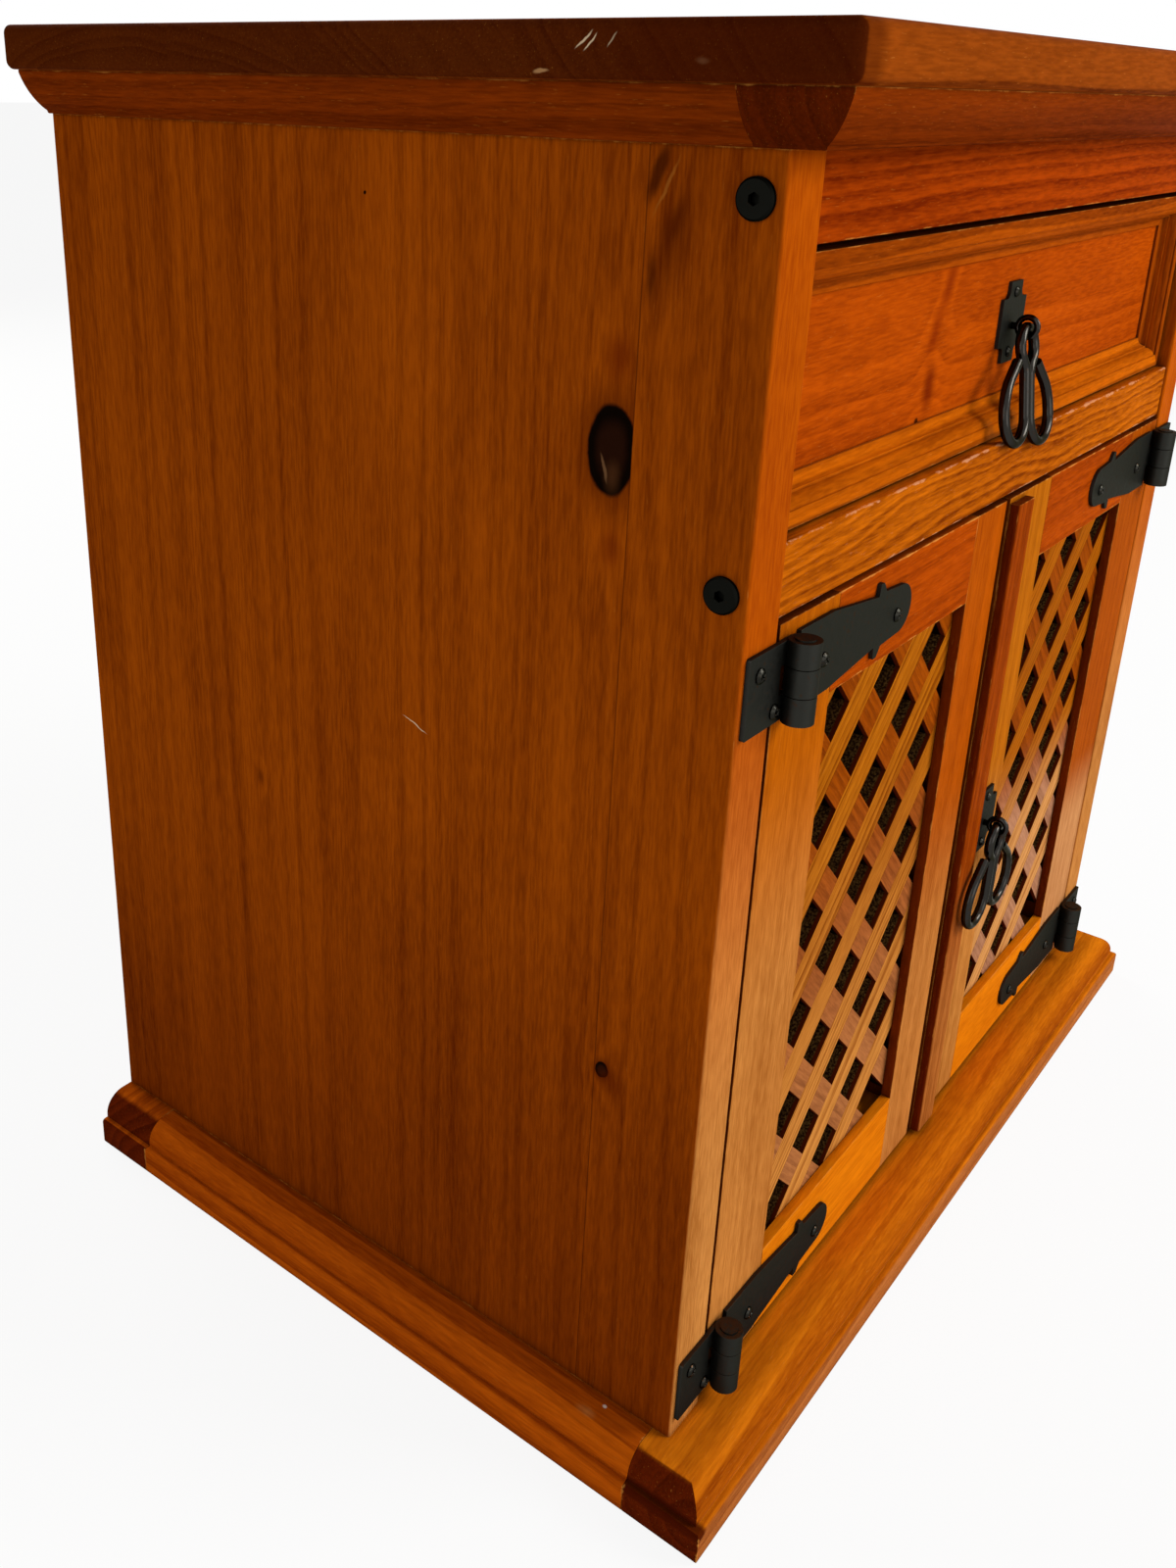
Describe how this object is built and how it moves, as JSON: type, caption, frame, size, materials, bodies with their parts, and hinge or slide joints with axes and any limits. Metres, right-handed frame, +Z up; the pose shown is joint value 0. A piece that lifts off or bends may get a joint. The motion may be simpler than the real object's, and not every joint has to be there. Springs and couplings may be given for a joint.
{
  "type": "storage cabinet",
  "caption": "Small rustic pine cabinet with a drawer above lattice doors, moulded base and crown, and black wrought-iron strap hinges and drop pulls.",
  "frame": {"origin": "on the floor, under the middle of the overall box", "axes": "+Z up, the front with the drawer and doors faces -Y, +X to the right seen from the front"},
  "size_m": [0.6, 0.42, 0.63],
  "materials": {
    "stained_pine": "satin lacquer over honey stain",
    "lattice_pine": "satin lacquer over honey stain",
    "raw_pine": "planed, unfinished",
    "plywood": "sanded plywood",
    "wrought_iron": "black satin, slightly worn"
  },
  "bodies": {
    "carcass": {"base_front": "stained_pine", "base_rear": "stained_pine", "base_left": "stained_pine", "base_right": "stained_pine", "side_panel_left": "stained_pine", "side_panel_right": "stained_pine", "top_rail": "stained_pine", "mid_rail": "stained_pine", "connector_bolts": "wrought_iron", "back_panel": "plywood", "cupboard_floor": "raw_pine", "drawer_runners": "raw_pine", "drawer_kickers": "raw_pine", "crown_front": "stained_pine", "crown_left": "stained_pine", "crown_right": "stained_pine", "crown_rear": "raw_pine", "top_slab": "stained_pine", "hinge_leaf_left_upper": "wrought_iron", "hinge_leaf_left_lower": "wrought_iron", "hinge_leaf_right_upper": "wrought_iron", "hinge_leaf_right_lower": "wrought_iron", "leaf_screws": "wrought_iron", "hinge_pins": "wrought_iron"},
    "door_left": {"door_left_hinge_stile": "stained_pine", "door_left_meeting_stile": "stained_pine", "door_left_top_rail": "stained_pine", "door_left_bottom_rail": "stained_pine", "door_left_lattice_front": "lattice_pine", "door_left_lattice_back": "lattice_pine", "hinge_strap_left_upper": "wrought_iron", "hinge_strap_left_lower": "wrought_iron", "strap_screws_left": "wrought_iron"},
    "door_right": {"door_right_hinge_stile": "stained_pine", "door_right_meeting_stile": "stained_pine", "door_right_top_rail": "stained_pine", "door_right_bottom_rail": "stained_pine", "door_right_lattice_front": "lattice_pine", "door_right_lattice_back": "lattice_pine", "hinge_strap_right_upper": "wrought_iron", "hinge_strap_right_lower": "wrought_iron", "strap_screws_right": "wrought_iron", "astragal": "stained_pine", "door_pull_plate": "wrought_iron", "door_pull_nails": "wrought_iron", "door_pull_eye": "wrought_iron"},
    "drawer": {"drawer_front": "stained_pine", "drawer_moulding_bottom": "stained_pine", "drawer_moulding_top": "stained_pine", "drawer_moulding_left": "stained_pine", "drawer_moulding_right": "stained_pine", "drawer_side_left": "raw_pine", "drawer_side_right": "raw_pine", "drawer_back": "raw_pine", "drawer_bottom": "plywood", "drawer_pull_plate": "wrought_iron", "drawer_pull_nails": "wrought_iron", "drawer_pull_eye": "wrought_iron"},
    "door_drop": {"door_pull_drop": "wrought_iron"},
    "drawer_drop": {"drawer_pull_drop": "wrought_iron"}
  },
  "joints": [
    {"name": "left_door_hinge", "type": "hinge", "parent": "carcass", "child": "door_left", "pos_m": [-0.2415, -0.1852, 0.229], "axis": [0, 0, -1], "range_deg": [0, 170]},
    {"name": "right_door_hinge", "type": "hinge", "parent": "carcass", "child": "door_right", "pos_m": [0.2415, -0.1852, 0.229], "axis": [0, 0, 1], "range_deg": [0, 170]},
    {"name": "drawer_slide", "type": "slide", "parent": "carcass", "child": "drawer", "axis": [0, -1, 0], "range_m": [0, 0.28]},
    {"name": "drawer_drop_swing", "type": "hinge", "parent": "drawer", "child": "drawer_drop", "pos_m": [0, -0.1699, 0.50525], "axis": [-1, 0, 0], "range_deg": [0, 90]},
    {"name": "door_drop_swing", "type": "hinge", "parent": "door_right", "child": "door_drop", "pos_m": [0.0302, -0.187, 0.2264], "axis": [-1, 0, 0], "range_deg": [0, 100]}
  ]
}
